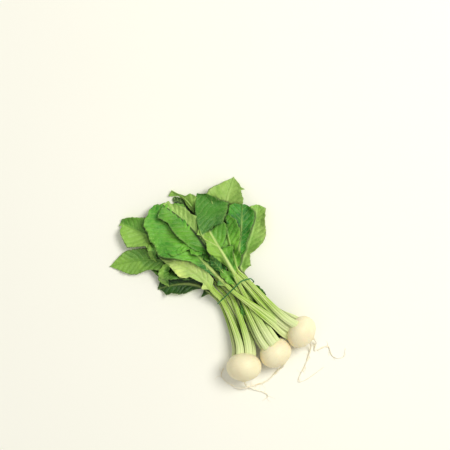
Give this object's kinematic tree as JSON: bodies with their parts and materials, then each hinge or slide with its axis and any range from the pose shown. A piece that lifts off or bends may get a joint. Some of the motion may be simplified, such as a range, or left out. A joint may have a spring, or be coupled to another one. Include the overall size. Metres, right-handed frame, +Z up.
{
  "type": "bunch of turnips",
  "caption": "White turnips with leaves and thin tap roots, tied round the stalks with a thin elastic, lying down.",
  "frame": {"origin": "middle of the bunch's box, on the surface that it lies on", "axes": "+Z up, away from that surface; +X from the leaves towards the roots; the left turnip lies towards -Y"},
  "size_m": [0.3508, 0.2254, 0.0494],
  "materials": {
    "root_skin": "satin",
    "leaf_deep": "satin",
    "leaf_fresh": "satin",
    "leaf_pale": "matte",
    "elastic": "satin"
  },
  "bodies": {
    "root": {"turnip_left": "root_skin", "turnip_middle": "root_skin", "turnip_right": "root_skin", "leaf_left_1": "leaf_deep", "leaf_left_2": "leaf_pale", "leaf_left_3": "leaf_deep", "leaf_left_4": "leaf_deep", "leaf_left_5": "leaf_deep", "leaf_middle_1": "leaf_fresh", "leaf_middle_2": "leaf_fresh", "leaf_middle_3": "leaf_fresh", "leaf_middle_4": "leaf_pale", "leaf_middle_5": "leaf_fresh", "leaf_right_1": "leaf_fresh", "leaf_right_2": "leaf_fresh", "leaf_right_3": "leaf_fresh", "leaf_right_4": "leaf_pale", "tie": "elastic"}
  },
  "joints": []
}
